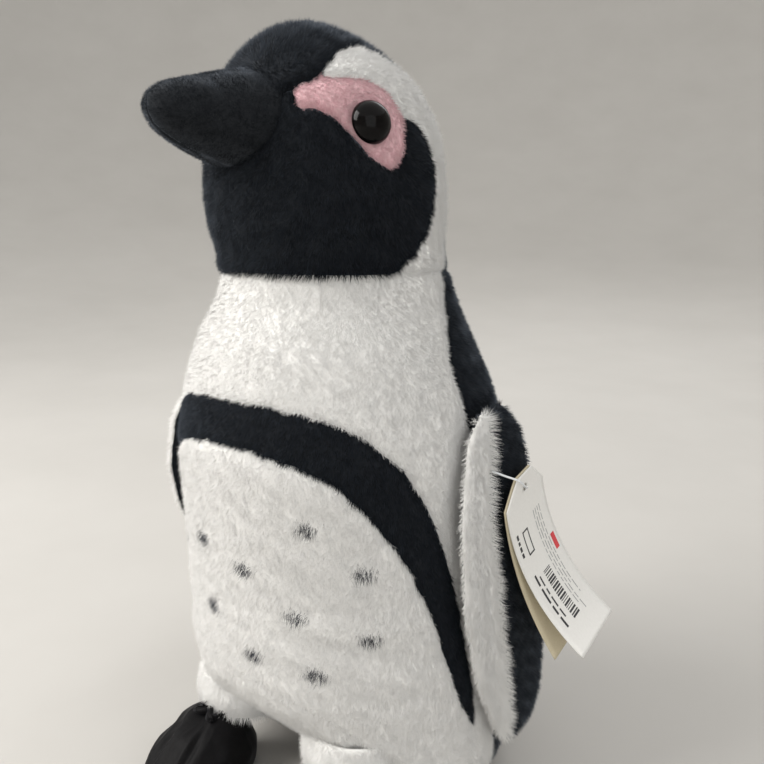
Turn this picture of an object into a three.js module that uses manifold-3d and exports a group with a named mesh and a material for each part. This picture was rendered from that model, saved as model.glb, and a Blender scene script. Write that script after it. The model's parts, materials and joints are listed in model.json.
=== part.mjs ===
// Standing plush penguin, about 35 cm tall, as an assembly of sewn cloth panels over fibre fill.
// Millimetres, +Z up, the face looks along -Y and the penguin's left side is +X.
// The origin is on the table, under the middle of the torso.
import * as THREE from "three";
import { mergeVertices } from "three/addons/utils/BufferGeometryUtils.js";
import Module from "manifold-3d";

const wasm = await Module();
wasm.setup();

// ---- Driving dimensions ----
const SKIN = 2.6; // plush cloth with its pile
const THIN_CLOTH = 2.0; // short-pile cloth of beak, flippers and feet
const GAP = 0.3; // clearance between neighbours
const NECK_SEAM_Z = 249; // the head turns on this plane
const HEAD_YAW = -8; // degrees, the head looks a little to its right
const HEAD_PIVOT_Y = -11;
const DEPTH_RATIO = 0.95; // front-to-back radius over side radius
const AROUND = 20; // corners round the torso and head
const REACH = 450; // half size of cutting blocks

// Torso and head outline: height, side radius, and the y of the section's middle.
const PROFILE = [
  [0, 64, 8],
  [4, 71, 8],
  [12, 76.5, 7],
  [28, 79, 5.5],
  [80, 80, 2.5],
  [115, 79, 1],
  [174, 77.3, -4.5],
  [195, 72, -5.5],
  [235, 56, -9.5],
  [255, 51.5, -11],
  [280, 53.5, -12.5],
  [305, 51, -13.5],
  [324, 43, -16.5],
  [337.5, 28.5, -20],
  [345.5, 13, -23],
];
const CROWN = [347.5, 0, -23.5];

// Sloping underside in front of the seat: its plane meets the table at this y and rises forward.
const UNDERCUT_Y = -12;
const UNDERCUT_SLOPE = 1.1; // y per z
const HEM_HEIGHT = 5; // depth of the base panel's edge

const LEG = { x: 37, y: -36, radius: 25, bottom: 31.5, top: 66 };
const FOOT = { length: 60, width: 48, height: 34.5, toeOut: 0, turnGap: 1 };
const EYE = { phi: 72, z: 306, turn: 10, radius: 8.2, bulge: 6.5, shank: 2.3, shankLength: 12 };
const WASHER = { radius: 7, hole: 2.7, thickness: 1.5, depth: 7 };
const TAG = { width: 32.5, length: 80, thickness: 0.8, holeRadius: 1.6, holeFromTop: 7, clip: 10 };
const CARD_BEND = { front: 0.7, back: 0.42 }; // degrees of curl for each millimetre down the card
const TACK_RADIUS = 0.45;

// ---- Materials ----
const material = (colour, roughness) => () =>
  new THREE.MeshStandardMaterial({ color: colour, roughness, metalness: 0 });
const blackPlush = material(0x1d2329, 0.95);
const whitePlush = material(0xe9e6df, 0.95);
const pinkPlush = material(0xe2bcc0, 0.95);
const beakPlush = material(0x24282c, 0.85);
const satinBlack = material(0x0e0e11, 0.45);
const eyePlastic = material(0x0b0c0d, 0.1);
const washerPlastic = material(0xdcdcd6, 0.5);
const fibreFill = material(0xf3f2ee, 1.0);
const tagCard = material(0xf1f0ec, 0.6);
const backCard = material(0xd9cba6, 0.6);
const tackPlastic = material(0xdfe3e6, 0.3);

// ---- Solids ----
function solidOf(geometry) {
  const bare = geometry.clone();
  bare.deleteAttribute("normal");
  bare.deleteAttribute("uv");
  const merged = mergeVertices(bare, 1e-4);
  return new wasm.Manifold(
    new wasm.Mesh({
      numProp: 3,
      vertProperties: new Float32Array(merged.attributes.position.array),
      triVerts: new Uint32Array(merged.index.array),
    }),
  );
}

function geometryOf(solid) {
  const mesh = solid.getMesh();
  const indexed = new THREE.BufferGeometry();
  indexed.setAttribute("position", new THREE.BufferAttribute(mesh.vertProperties, 3));
  indexed.setIndex(new THREE.BufferAttribute(mesh.triVerts, 1));
  const geometry = indexed.toNonIndexed();
  geometry.computeVertexNormals();
  return geometry;
}

function moved(solid, matrix) {
  return solidOf(geometryOf(solid).applyMatrix4(matrix));
}

function mirrored(solid) {
  const geometry = geometryOf(solid);
  const position = geometry.attributes.position;
  for (let i = 0; i < position.count; i += 3) {
    const corners = [0, 1, 2].map((k) => new THREE.Vector3().fromBufferAttribute(position, i + k));
    corners.reverse().forEach((p, k) => position.setXYZ(i + k, -p.x, p.y, p.z));
  }
  return solidOf(geometry);
}

// A closed skin over rings of points; each ring runs anticlockwise seen from the last ring.
function loftSolid(rings) {
  const count = rings[0].length;
  const points = rings.flat();
  const triangles = [];
  for (let ring = 0; ring < rings.length - 1; ring++) {
    for (let i = 0; i < count; i++) {
      const a = ring * count + i;
      const b = ring * count + ((i + 1) % count);
      triangles.push(a, b, b + count, a, b + count, a + count);
    }
  }
  const lastRing = (rings.length - 1) * count;
  const centreOf = (ring) => ring.reduce((sum, p) => sum.add(p), new THREE.Vector3()).divideScalar(count);
  const first = points.push(centreOf(rings[0])) - 1;
  const last = points.push(centreOf(rings.at(-1))) - 1;
  for (let i = 0; i < count; i++) {
    const next = (i + 1) % count;
    triangles.push(first, next, i, last, lastRing + i, lastRing + next);
  }
  const geometry = new THREE.BufferGeometry().setFromPoints(points);
  geometry.setIndex(triangles);
  return solidOf(geometry);
}

function blockSolid(width, depth, height, matrix) {
  return solidOf(new THREE.BoxGeometry(width, depth, height).applyMatrix4(matrix));
}

const at = (x, y, z) => new THREE.Matrix4().makeTranslation(x, y, z);
const below = (z) => blockSolid(2 * REACH, 2 * REACH, 2 * REACH, at(0, 0, z - REACH));
const above = (z) => blockSolid(2 * REACH, 2 * REACH, 2 * REACH, at(0, 0, z + REACH));
const leftOf = (x) => blockSolid(2 * REACH, 2 * REACH, 2 * REACH, at(x + REACH, 0, 0));

function uprightCylinder(radius, bottom, top) {
  const geometry = new THREE.CylinderGeometry(radius, radius, top - bottom, 20);
  geometry.rotateX(Math.PI / 2);
  return solidOf(geometry.translate(0, 0, (top + bottom) / 2));
}

// ---- Torso and head surface ----
function profileAt(z) {
  const last = PROFILE.length - 1;
  const upper = PROFILE.findIndex((row) => row[0] > z);
  const i = upper < 0 ? last - 1 : Math.max(upper - 1, 0);
  const [z0, r0, y0] = PROFILE[i];
  const [z1, r1, y1] = PROFILE[i + 1];
  const t = THREE.MathUtils.clamp((z - z0) / (z1 - z0), 0, 1);
  return { radius: r0 + t * (r1 - r0), middle: y0 + t * (y1 - y0) };
}

// A point of the surface, phi degrees round from the face towards the penguin's left, scaled about the axis.
function surfacePoint(phi, z, scale = 1) {
  const { radius, middle } = profileAt(z);
  const angle = THREE.MathUtils.degToRad(phi);
  return new THREE.Vector3(
    scale * radius * Math.sin(angle),
    middle - scale * DEPTH_RATIO * radius * Math.cos(angle),
    z,
  );
}

function sectionRing(radius, middle, z) {
  return Array.from({ length: AROUND }, (_, i) => {
    const angle = (2 * Math.PI * i) / AROUND;
    return new THREE.Vector3(radius * Math.sin(angle), middle - DEPTH_RATIO * radius * Math.cos(angle), z);
  });
}

// Torso and head in one, every surface moved inwards by depth.
function figureSolid(depth) {
  const rings = PROFILE.map(([z, radius, middle], i) => {
    const before = PROFILE[Math.max(i - 1, 0)];
    const after = PROFILE[i + 1] ?? CROWN;
    const normal = new THREE.Vector2(after[0] - before[0], before[1] - after[1]).normalize();
    const lift = i === 0 ? depth : -depth * normal.y;
    return sectionRing(radius - depth * normal.x, middle, z + lift);
  });
  rings.push(sectionRing(0.5, CROWN[2], CROWN[0] - depth));
  return loftSolid(rings);
}

// Everything under the sloping underside plane, which is moved inwards by depth.
function undercutBlock(depth) {
  const tilt = Math.atan(UNDERCUT_SLOPE);
  const place = at(0, UNDERCUT_Y, 0)
    .multiply(new THREE.Matrix4().makeRotationX(Math.PI / 2 - tilt))
    .multiply(at(0, -REACH + depth, 0));
  return blockSolid(2 * REACH, 2 * REACH, 2 * REACH, place);
}

function torsoSolid(depth) {
  return figureSolid(depth).intersect(below(NECK_SEAM_Z - GAP / 2)).subtract(undercutBlock(depth));
}

const headSolid = (depth) => figureSolid(depth).intersect(above(NECK_SEAM_Z + GAP / 2));

// ---- Sewing pattern: outlines are [phi, z] corners on the surface ----
const STEP_DEGREES = 9;
const STEP_HEIGHT = 13;
const CUT_FROM = 0.6; // a pattern cut reaches from this share of the radius out to the other
const CUT_TO = 2;

function densified(outline) {
  return outline.flatMap(([phi, z], i) => {
    const [nextPhi, nextZ] = outline[(i + 1) % outline.length];
    const across = Math.abs(nextPhi - phi) / STEP_DEGREES;
    const up = Math.abs(nextZ - z) / STEP_HEIGHT;
    const steps = Math.max(1, Math.ceil(Math.max(across, up)));
    return Array.from({ length: steps }, (_, k) => [
      phi + ((nextPhi - phi) * k) / steps,
      z + ((nextZ - z) * k) / steps,
    ]);
  });
}

// The outline grown by some millimetres over the surface.
function grown(outline, amount) {
  const flat = outline.map(([phi, z]) => {
    const scale = THREE.MathUtils.degToRad(1) * Math.max(profileAt(z).radius, 20);
    return { scale, point: new THREE.Vector2(phi * scale, z) };
  });
  const turn = Math.sign(THREE.ShapeUtils.area(flat.map((f) => f.point)));
  return flat.map(({ scale, point }, i) => {
    const before = flat[(i + flat.length - 1) % flat.length].point;
    const after = flat[(i + 1) % flat.length].point;
    const along = after.clone().sub(before).normalize();
    return [(point.x + turn * amount * along.y) / scale, point.y - turn * amount * along.x];
  });
}

// A block from under the cloth out past the surface, over the outline on the surface.
function patternCutter(corners, amount) {
  const pattern = densified(corners);
  if (THREE.ShapeUtils.area(pattern.map(([phi, z]) => new THREE.Vector2(phi, z))) < 0) pattern.reverse();
  const outline = grown(pattern, amount);
  const flat = outline.map(([phi, z]) => new THREE.Vector2(phi, z));
  const near = outline.map(([phi, z]) => surfacePoint(phi, z, CUT_FROM));
  const far = outline.map(([phi, z]) => surfacePoint(phi, z, CUT_TO));
  const count = outline.length;
  const triangles = THREE.ShapeUtils.triangulateShape(flat, []).flatMap(([a, b, c]) => [
    a + count, b + count, c + count, c, b, a,
  ]);
  // Each side wall is split along the same diagonal whichever way round the outline runs.
  for (let i = 0; i < count; i++) {
    const next = (i + 1) % count;
    const [phi, z] = pattern[i];
    const forward = phi < pattern[next][0] || (phi === pattern[next][0] && z < pattern[next][1]);
    if (forward) triangles.push(i, next, next + count, i, next + count, i + count);
    else triangles.push(i, next, i + count, next, next + count, i + count);
  }
  const geometry = new THREE.BufferGeometry().setFromPoints([...near, ...far]);
  geometry.setIndex(triangles);
  return solidOf(geometry);
}

const acrossFace = (outline) => outline.map(([phi, z]) => [-phi, z]).toReversed();

// Band edges from the middle of the breast round to the flank.
const BAND_TOP = [
  [0, 200], [15, 199], [32, 196], [45, 190], [54, 181], [63, 168], [70, 148], [76, 119], [81, 84], [86, 46],
];
const BAND_BOTTOM = [
  [0, 182], [15, 180], [27, 176.5], [38, 170], [49, 154], [58, 136], [66, 110], [73, 79], [79, 56], [84, 43],
];
const FLANK_END = [[85.5, 28], [84, 28]];

const bellyHalf = [...BAND_BOTTOM, FLANK_END[1], [84, -10], [0, -10]];
const bandOuter = [...BAND_TOP, FLANK_END[0]];
const bandInner = [...BAND_BOTTOM, FLANK_END[1]];
const wholeBand = [
  ...acrossFace(bandOuter),
  ...bandOuter.slice(1),
  ...bandInner.toReversed(),
  ...acrossFace(bandInner).toReversed().slice(1),
];

// Back panel: its front edge drops from the nape, behind the flipper, to the hem.
const BACK_EDGE = [
  [112, 251], [101, 237], [94, 224], [89, 210], [89, 190], [91, 150], [95, 90], [98, 40], [100, -10],
];
const backHalf = [...BACK_EDGE, [180, -10], [180, 260], [114, 260]];

// Head pattern, in the head's own frame.
const STRIPE_TOP = [[42, 321], [57, 328], [68, 333.5], [90, 337], [112, 334.5], [130, 327]];
const STRIPE_BACK = [[136, 312], [138, 288], [134, 266], [121, 244]];
const MASK_BACK = [
  [70, 244], [81, 250], [90.5, 254.5], [99, 260.5], [106, 268], [111, 279], [113, 291], [107, 302],
  [98, 309.5],
];
const BROW = [[24, 316], [0, 318]];
const PINK_FRONT = [[36, 318.5], [39, 310]];
const PINK_BELOW = [[45, 312], [56, 308], [66, 299], [71, 293], [79, 289], [87, 292]];
const PINK_BACK = [[90.5, 301], [93, 310]];
const PINK_TOP = [[88, 319.5], [76, 323], [58, 323.5]];

const pinkHalf = [...PINK_FRONT, ...PINK_BELOW, ...PINK_BACK, ...PINK_TOP, STRIPE_TOP[0]];
const maskHalf = [
  [0, 244], ...MASK_BACK, ...PINK_BACK.toReversed(), ...PINK_BELOW.toReversed(),
  ...PINK_FRONT.toReversed(), ...BROW,
];
const stripeHalf = [...STRIPE_TOP, ...STRIPE_BACK, ...MASK_BACK, PINK_BACK[1], ...PINK_TOP];
const faceHalf = [
  [0, 244], ...STRIPE_BACK.toReversed(), ...STRIPE_TOP.toReversed(), PINK_FRONT[0], ...BROW,
];

// ---- Beak: oval sections along -Y in the head's frame ----
// Distance in front of the head's axis, height of the middle, half height, half width.
const BEAK = [
  [34, 307.5, 21, 28],
  [50, 308.2, 17.6, 22.6],
  [60, 308.8, 14.4, 18.7],
  [69, 309.8, 11.2, 13.8],
  [74.5, 310.5, 8.6, 10.2],
  [78, 311, 5.6, 6.6],
  [79.6, 311.5, 2.8, 3.2],
];
const BEAK_TIP = [80, 311.5, 0.4, 0.4];
const BEAK_CORNERS = 14;

function beakSolid(depth) {
  const axisY = profileAt(BEAK_TIP[1]).middle;
  const rings = [...BEAK, BEAK_TIP].map(([reach, height, halfHeight, halfWidth], i) => {
    const shrink = Math.min(depth, 0.75 * Math.min(halfHeight, halfWidth));
    const back = i > BEAK.length - 3 ? depth : 0;
    return Array.from({ length: BEAK_CORNERS }, (_, k) => {
      const angle = (2 * Math.PI * k) / BEAK_CORNERS;
      return new THREE.Vector3(
        (halfWidth - shrink) * Math.cos(angle),
        axisY - reach + back,
        height + (halfHeight - shrink) * Math.sin(angle),
      );
    });
  });
  return loftSolid(rings);
}

// ---- Eye and washer, turned shapes whose axis is the eye's outward normal ----
function turnedSolid(points, sides) {
  const profile = points.map(([radius, height]) => new THREE.Vector2(radius, height));
  const geometry = new THREE.LatheGeometry(profile, sides);
  return solidOf(geometry.rotateX(Math.PI / 2));
}

function eyeSolid(depth) {
  const dome = Array.from({ length: 5 }, (_, i) => {
    const angle = (Math.PI / 2) * (i / 4);
    return [(EYE.radius + depth) * Math.cos(angle), (EYE.bulge + depth) * Math.sin(angle)];
  });
  dome[4][0] = 0;
  const foot = -EYE.shankLength - depth;
  const shank = EYE.shank + depth;
  return turnedSolid([[0, foot], [shank, foot], [shank, -depth], [dome[0][0], -depth], ...dome], 14);
}

function washerSolid(depth) {
  const low = -WASHER.depth - WASHER.thickness - depth;
  const high = -WASHER.depth + depth;
  const inner = WASHER.hole - depth;
  const outer = WASHER.radius + depth;
  return turnedSolid([[inner, low], [outer, low], [outer, high], [inner, high], [inner, low]], 10);
}

function eyePlace() {
  const centre = surfacePoint(EYE.phi, EYE.z);
  const around = surfacePoint(EYE.phi + 1, EYE.z).sub(surfacePoint(EYE.phi - 1, EYE.z));
  const upward = surfacePoint(EYE.phi, EYE.z + 6).sub(surfacePoint(EYE.phi, EYE.z - 6));
  const normal = around.normalize().clone().cross(upward.normalize()).normalize();
  normal.applyAxisAngle(new THREE.Vector3(0, 0, 1), THREE.MathUtils.degToRad(EYE.turn));
  const side = new THREE.Vector3(0, 0, 1).cross(normal).normalize();
  const matrix = new THREE.Matrix4().makeBasis(side, normal.clone().cross(side), normal);
  return matrix.setPosition(centre.addScaledVector(normal, -0.4));
}

// ---- Flipper: sections down its length in the left shoulder's frame ----
// Distance below the shoulder, leading edge y, trailing edge y, thickness, outward offset of the middle,
// and the width of the white strip behind the leading edge.
const SHOULDER = { x: 78, y: 12, z: 190 };
const FLIPPER = [
  [-2, -22, 0, 5, 1.4, 14],
  [7, -32, 8, 8, 3.4, 13],
  [38, -41, 17.5, 11, 7, 15],
  [77, -39, 26.5, 11.5, 8.4, 20],
  [112, -29, 28.5, 11, 8.8, 17],
  [138.5, -15, 27.5, 9.5, 8.6, 10],
  [150.5, -7, 22.5, 6.5, 8.4, 5],
  [155, 2, 15, 3, 8.4, 0.5],
];
const FLIPPER_CORNERS = 10;
const NOSE_WRAP = 1.2; // how far the white strip laps over the leading edge onto the inner side
// How far the cutting slabs run past the flipper.
const CLEAR = { ahead: 60, behind: 160, aside: 30, top: -30, bottom: 190 };

function flipperSolid(depth) {
  const last = FLIPPER.length - 1;
  const rings = FLIPPER.map(([drop, lead, trail, thickness, offset], i) => {
    const middle = (lead + trail) / 2;
    const halfChord = Math.max((trail - lead) / 2 - 1.5 * depth, 0.4);
    const halfThickness = Math.max(thickness / 2 - depth, 0.3);
    const shift = i === 0 ? depth * 2 : i === last ? -depth * 2.5 : 0;
    return Array.from({ length: FLIPPER_CORNERS }, (_, k) => {
      const angle = (-2 * Math.PI * k) / FLIPPER_CORNERS;
      return new THREE.Vector3(
        offset + halfThickness * Math.cos(angle),
        middle + halfChord * Math.sin(angle),
        -drop - shift,
      );
    });
  });
  return loftSolid(rings);
}

// Slab over the flipper's stations between two outward offsets, from ahead of the flipper to a trailing side.
function flipperSlab(inward, outward, trailSide) {
  const rows = FLIPPER.map((row) => [...row]);
  rows[0][0] = CLEAR.top;
  rows.at(-1)[0] = CLEAR.bottom;
  const rings = rows.map(([drop, lead, , , offset, white]) => [
    new THREE.Vector3(offset + inward, lead - CLEAR.ahead, -drop),
    new THREE.Vector3(offset + inward, trailSide(lead, white), -drop),
    new THREE.Vector3(offset + outward, trailSide(lead, white), -drop),
    new THREE.Vector3(offset + outward, lead - CLEAR.ahead, -drop),
  ]);
  return loftSolid(rings);
}

const bodySide = (grow) => flipperSlab(-CLEAR.aside, grow, (lead) => lead + CLEAR.behind);
const leadingStrip = (grow) =>
  flipperSlab(-NOSE_WRAP - grow, CLEAR.aside, (lead, white) => lead + white + grow);

function flipperPieces() {
  const cloth = flipperSolid(0).subtract(flipperSolid(THIN_CLOTH));
  return {
    flipper_outer: [cloth.subtract(bodySide(GAP / 2)).subtract(leadingStrip(GAP / 2)), blackPlush],
    flipper_strip: [cloth.intersect(leadingStrip(-GAP / 2)), whitePlush],
    flipper_inner: [cloth.intersect(bodySide(-GAP / 2)).subtract(leadingStrip(GAP / 2)), blackPlush],
    flipper_wadding: [flipperSolid(THIN_CLOTH + GAP).intersect(below(-8)).intersect(above(-148)), fibreFill],
  };
}

// ---- Foot: stacked outlines, in the left ankle's frame ----
const FOOT_LAYERS = [[0, 3.5], [5, 0.6], [13.5, 0], [23, 3], [30, 9], [34.5, 17]];
const FOOT_CORNERS = 16;

function footSolid(depth) {
  const half = FOOT.length / 2;
  const rings = FOOT_LAYERS.map(([height, inset], i) => {
    const lift = i === 0 ? depth : (-depth * Math.max(0, height - 8)) / (FOOT.height - 8);
    return Array.from({ length: FOOT_CORNERS }, (_, k) => {
      const angle = (2 * Math.PI * k) / FOOT_CORNERS;
      const breadth = FOOT.width / 2 - 2.5 * Math.cos(angle) - inset - depth;
      const y = -half - 1.5 + (half - inset - depth) * Math.cos(angle);
      const toeDrop = 1 - 0.32 * THREE.MathUtils.smoothstep(-y, half * 0.8, FOOT.length);
      return new THREE.Vector3(-breadth * Math.sin(angle), y, height * toeDrop + lift);
    });
  });
  return loftSolid(rings);
}

function footPieces() {
  const body = (depth) => {
    const room = LEG.radius + FOOT.turnGap + depth;
    const legRoom = uprightCylinder(room, LEG.bottom - GAP - depth, 2 * FOOT.height);
    return footSolid(depth).subtract(legRoom);
  };
  return {
    foot_upper: [body(0).subtract(body(THIN_CLOTH)).intersect(above(THIN_CLOTH + GAP)), satinBlack],
    foot_sole: [body(0).intersect(below(THIN_CLOTH)), satinBlack],
    foot_stuffing: [body(THIN_CLOTH + GAP), fibreFill],
  };
}

// ---- Legs ----
const LEG_CORNERS = 16;

function legSolid(depth) {
  const rows = [
    [LEG.bottom, LEG.radius - 1.5], [LEG.bottom + 8, LEG.radius], [LEG.top, LEG.radius - 8],
  ];
  const rings = rows.map(([z, radius]) =>
    Array.from({ length: LEG_CORNERS }, (_, k) => {
      const angle = (2 * Math.PI * k) / LEG_CORNERS;
      const reach = radius - depth;
      return new THREE.Vector3(LEG.x + reach * Math.cos(angle), LEG.y + reach * Math.sin(angle), z);
    }),
  );
  return loftSolid(rings);
}

// ---- Torso ----
function torsoPieces() {
  const legs = (depth) => legSolid(depth).add(mirrored(legSolid(depth)));
  const shell = torsoSolid(0).subtract(torsoSolid(SKIN)).subtract(legs(-GAP));
  const hem = below(HEM_HEIGHT).add(undercutBlock(HEM_HEIGHT));
  const hemWithGap = below(HEM_HEIGHT + GAP).add(undercutBlock(HEM_HEIGHT + GAP));
  const tailRoot = tailSolid(-GAP);
  const walls = shell.subtract(hemWithGap).subtract(tailRoot);
  const bellySides = (grow) => patternCutter(bellyHalf, grow).add(patternCutter(acrossFace(bellyHalf), grow));
  const belly = (grow) => bellySides(grow).add(bellyMiddle(grow));
  const back = (grow) => patternCutter(backHalf, grow);
  const backSeam = blockSolid(GAP, REACH, 2 * REACH, at(0, REACH / 2, 0));
  const backBoth = back(GAP / 2).add(mirrored(back(GAP / 2)));
  const band = (grow) => patternCutter(wholeBand, grow);
  const legCuff = legSolid(0).subtract(legSolid(SKIN)).subtract(torsoSolid(-GAP));
  return {
    chest_panel: [walls.subtract(belly(GAP / 2)).subtract(band(GAP / 2)).subtract(backBoth), whitePlush],
    chest_band: [walls.intersect(band(-GAP / 2)), blackPlush],
    belly_panel: [walls.intersect(belly(-GAP / 2)), whitePlush],
    back_panel_left: [walls.intersect(back(-GAP / 2)).subtract(backSeam), blackPlush],
    back_panel_right: [walls.intersect(mirrored(back(-GAP / 2))).subtract(backSeam), blackPlush],
    base_panel: [shell.intersect(hem).subtract(tailRoot), whitePlush],
    leg_cuff_left: [legCuff, whitePlush],
    leg_cuff_right: [mirrored(legCuff), whitePlush],
    body_stuffing: [torsoSolid(SKIN + GAP).add(legs(SKIN + GAP)), fibreFill],
  };
}

// A plain wedge that joins the two belly halves over the middle line.
function bellyMiddle(grow) {
  const top = BAND_BOTTOM[0][1] + grow - 0.6;
  return patternCutter([[-6, -10], [6, -10], [6, top - 1], [0, top], [-6, top - 1]], 0);
}

// ---- Tail: a short flat stub low on the back ----
const TAIL = { root: 62, tip: 97, z: 15, halfWidth: 17, thickness: 11 };

function tailSolid(depth) {
  const rows = [[TAIL.root, 1, 1], [TAIL.root + 16, 1, 1], [TAIL.tip - 8, 0.72, 0.7], [TAIL.tip, 0.3, 0.35]];
  const rings = rows.map(([y, wide, thick]) =>
    Array.from({ length: 12 }, (_, k) => {
      const angle = (-2 * Math.PI * k) / 12;
      return new THREE.Vector3(
        (TAIL.halfWidth * wide - depth) * Math.cos(angle),
        y,
        TAIL.z + ((TAIL.thickness / 2) * thick - depth) * Math.sin(angle),
      );
    }),
  );
  return loftSolid(rings);
}

function tailPieces() {
  const tail = tailSolid(0).subtract(torsoSolid(SKIN));
  return {
    tail_top: [tail.intersect(above(TAIL.z + GAP / 2)), blackPlush],
    tail_under: [tail.intersect(below(TAIL.z - GAP / 2)), blackPlush],
  };
}

// ---- Head ----
function headPieces() {
  const shell = headSolid(0).subtract(headSolid(SKIN)).subtract(beakSolid(-GAP));
  const eye = moved(eyeSolid(0), eyePlace());
  const eyeRoom = moved(eyeSolid(GAP), eyePlace());
  const washer = moved(washerSolid(0), eyePlace());
  const washerRoom = moved(turnedSolid([[0, -40], [9, -40], [9, 4], [0, 4]], 12), eyePlace());
  const chinSeam = blockSolid(GAP, 2 * REACH, 2 * REACH, at(0, 0, 0));
  const pink = shell.intersect(patternCutter(pinkHalf, -GAP / 2)).subtract(eyeRoom);
  const mask = shell.intersect(patternCutter(maskHalf, -GAP / 2)).subtract(chinSeam);
  const stripe = shell.intersect(patternCutter(stripeHalf, -GAP / 2));
  const face = patternCutter(faceHalf, GAP / 2);
  const crown = shell.subtract(face).subtract(mirrored(face));
  const beak = beakSolid(0).subtract(beakSolid(THIN_CLOTH)).subtract(headSolid(SKIN)).subtract(chinSeam);
  const fill = headSolid(SKIN + GAP).add(beakSolid(THIN_CLOTH + GAP))
    .subtract(washerRoom).subtract(mirrored(washerRoom));
  return {
    crown_panel: [crown, blackPlush],
    mask_left: [mask, blackPlush],
    mask_right: [mirrored(mask), blackPlush],
    white_stripe_left: [stripe, whitePlush],
    white_stripe_right: [mirrored(stripe), whitePlush],
    pink_patch_left: [pink, pinkPlush],
    pink_patch_right: [mirrored(pink), pinkPlush],
    beak_left: [beak.intersect(leftOf(0)), beakPlush],
    beak_right: [beak.subtract(leftOf(0)), beakPlush],
    eye_left: [eye, eyePlastic],
    eye_right: [mirrored(eye), eyePlastic],
    eye_washer_left: [washer, washerPlastic],
    eye_washer_right: [mirrored(washer), washerPlastic],
    head_stuffing: [fill, fibreFill],
  };
}

// ---- Swing tag: two cards on one plastic tack through the left flipper ----
const TAG_HOLE = new THREE.Vector3(95.3, 3.5, 162.1);
const TAG_ACROSS = new THREE.Vector3(-0.056, 0.976, 0.212).normalize();
const TAG_DOWN = new THREE.Vector3(-0.016, 0.22, -0.975);

// The hole at the origin, x across the card, y down it at the hole, z towards the flipper.
function tagFrame() {
  const back = TAG_ACROSS.clone().cross(TAG_DOWN).normalize();
  const down = back.clone().cross(TAG_ACROSS);
  return new THREE.Matrix4().makeBasis(TAG_ACROSS, down, back).setPosition(TAG_HOLE);
}

// One card, curled outwards down its length, between two depths behind the printed face at the hole.
function cardSolid(bend, near, far) {
  const half = TAG.width / 2;
  const radius = 1 / THREE.MathUtils.degToRad(bend);
  const top = -TAG.holeFromTop;
  const bottom = TAG.length - TAG.holeFromTop;
  const shoulder = top + TAG.clip;
  const steps = 5;
  const lower = Array.from({ length: steps + 1 }, (_, k) => shoulder + ((bottom - shoulder) * k) / steps);
  const stations = [[top, half - TAG.clip], ...lower.map((along) => [along, half])];
  const rings = stations.map(([along, wide]) => {
    const turn = along / radius;
    const corner = (x, depth) =>
      new THREE.Vector3(x, (radius + depth) * Math.sin(turn), (radius + depth) * Math.cos(turn) - radius);
    return [corner(-wide, near), corner(-wide, far), corner(wide, far), corner(wide, near)];
  });
  const hole = new THREE.CylinderGeometry(TAG.holeRadius, TAG.holeRadius, 20, 12).rotateX(Math.PI / 2);
  return loftSolid(rings).subtract(solidOf(hole));
}

function tagPieces() {
  const behind = TAG.thickness + GAP;
  return {
    tag_front_card: [moved(cardSolid(CARD_BEND.front, 0, TAG.thickness), tagFrame()), tagCard],
    tag_back_card: [moved(cardSolid(CARD_BEND.back, behind, behind + TAG.thickness), tagFrame()), backCard],
    tag_fastener: [tackSolid(), tackPlastic],
  };
}

// The clear tack: out of the flipper's cloth, over the card's clipped corner, in through the hole from the
// front, with a cross bar behind the cards.
function tackSolid() {
  const route = new THREE.CatmullRomCurve3(
    [
      new THREE.Vector3(-11.5, -12, 8.4),
      new THREE.Vector3(-10, -10, 3),
      new THREE.Vector3(-8, -8, -1.2),
      new THREE.Vector3(-3.5, -3, -1.7),
      new THREE.Vector3(0, 0, -0.6),
      new THREE.Vector3(0, 0, 3.4),
    ].map((point) => point.applyMatrix4(tagFrame())),
  );
  const section = new THREE.Shape().absarc(0, 0, TACK_RADIUS, 0, 2 * Math.PI, false);
  const thread = new THREE.ExtrudeGeometry(section, { steps: 16, curveSegments: 3, extrudePath: route });
  const bar = new THREE.CylinderGeometry(0.8, 0.8, 8, 8).applyMatrix4(tagFrame().multiply(at(0, 0, 3.4)));
  return solidOf(thread).add(solidOf(bar));
}

// ---- Assembly ----
function meshes(pieces, suffix = "") {
  return Object.entries(pieces).map(([name, [solid, makeMaterial]]) => {
    const mesh = new THREE.Mesh(geometryOf(solid), makeMaterial());
    mesh.name = name + suffix;
    return mesh;
  });
}

function mirroredPieces(pieces) {
  const entries = Object.entries(pieces).map(([name, [solid, look]]) => [name, [mirrored(solid), look]]);
  return Object.fromEntries(entries);
}

function groupAt(children, x, y, z) {
  const group = new THREE.Group();
  group.add(...children);
  group.position.set(x, y, z);
  return group;
}

const penguin = new THREE.Group();
penguin.add(...meshes(torsoPieces()), ...meshes(tailPieces()), ...meshes(tagPieces()));

const head = groupAt([groupAt(meshes(headPieces()), 0, -HEAD_PIVOT_Y, 0)], 0, HEAD_PIVOT_Y, 0);
head.rotation.z = THREE.MathUtils.degToRad(HEAD_YAW);
penguin.add(head);

// The right flipper stands out from the body and is turned so that its inner side faces a little forwards.
const RIGHT_SPLAY = 26;
const RIGHT_SWEEP = 7;
const RIGHT_TWIST = -18;
penguin.add(groupAt(meshes(flipperPieces(), "_left"), SHOULDER.x, SHOULDER.y, SHOULDER.z));
const rightPieces = meshes(mirroredPieces(flipperPieces()), "_right");
const rightFlipper = groupAt(rightPieces, -SHOULDER.x, SHOULDER.y, SHOULDER.z);
rightFlipper.rotation.set(
  THREE.MathUtils.degToRad(RIGHT_SWEEP),
  THREE.MathUtils.degToRad(RIGHT_SPLAY),
  THREE.MathUtils.degToRad(RIGHT_TWIST),
  "YXZ",
);
penguin.add(rightFlipper);

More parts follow.
